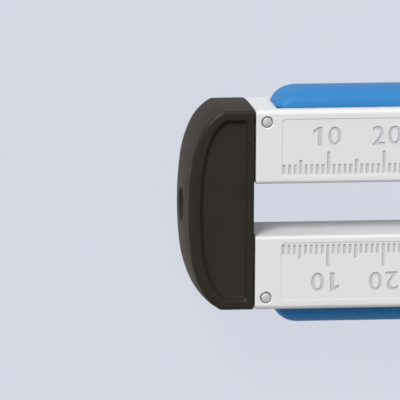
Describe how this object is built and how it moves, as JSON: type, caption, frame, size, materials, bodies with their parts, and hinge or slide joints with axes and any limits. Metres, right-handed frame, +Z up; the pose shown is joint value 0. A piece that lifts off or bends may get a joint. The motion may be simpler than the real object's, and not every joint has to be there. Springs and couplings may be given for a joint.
{
  "type": "fibre stripper",
  "caption": "Tweezer-like fibre stripper: two sprung arms on a rear hinge close notched blades inside a funnelled guide head, with millimetre scales and soft grips.",
  "frame": {"origin": "on the fibre's axis, where the fibre leaves the guide bush towards the blades", "axes": "+X along the tool towards the rear hinge, +Y towards the upper arm, +Z up; the tool lies on its lower face"},
  "size_m": [0.13, 0.0424, 0.016],
  "materials": {
    "head_plastic": "fine moulded grain, black",
    "arm_plastic": "satin moulded, light grey",
    "grip_rubber": "soft satin, blue",
    "pin_steel": "ground",
    "blade_steel": "ground and honed",
    "bush_steel": "turned",
    "clamp_steel": "stamped",
    "screw_steel": "turned, zinc plated",
    "cup_steel": "drawn",
    "spring_steel": "drawn wire",
    "washer_steel": "stamped",
    "clip_steel": "blued spring steel",
    "insert_brass": "turned"
  },
  "bodies": {
    "lower_arm": {"lower_arm": "arm_plastic", "lower_grip": "grip_rubber", "lower_dowel_pin": "pin_steel", "lower_blade": "blade_steel", "lower_blade_clamp": "clamp_steel", "lower_clamp_screws": "screw_steel", "lower_screw_inserts": "insert_brass", "lower_spring_cup": "cup_steel", "return_spring": "spring_steel", "hinge_pin": "pin_steel", "hinge_washers": "washer_steel", "hinge_clip": "clip_steel"},
    "upper_arm": {"upper_arm": "arm_plastic", "upper_grip": "grip_rubber", "upper_dowel_pin": "pin_steel", "upper_blade": "blade_steel", "upper_blade_clamp": "clamp_steel", "upper_clamp_screws": "screw_steel", "upper_screw_inserts": "insert_brass", "upper_spring_cup": "cup_steel", "hinge_bush": "insert_brass"},
    "guide_head": {"guide_head": "head_plastic", "guide_bush": "bush_steel"}
  },
  "joints": [
    {"name": "squeeze", "type": "hinge", "parent": "lower_arm", "child": "upper_arm", "pos_m": [0.1126, 0, 0], "axis": [0, 0, 1], "range_deg": [0, 1.23], "stiffness_Nm_per_rad": 2, "springref_deg": -2.86, "deforming": ["return_spring"]},
    {"name": "head_follow", "type": "hinge", "parent": "lower_arm", "child": "guide_head", "pos_m": [0.1126, 0, 0], "axis": [0, 0, 1], "range_deg": [0, 0.615]}
  ],
  "couplings": [
    {"joint": "head_follow", "follows": "squeeze", "ratio": 0.5}
  ]
}
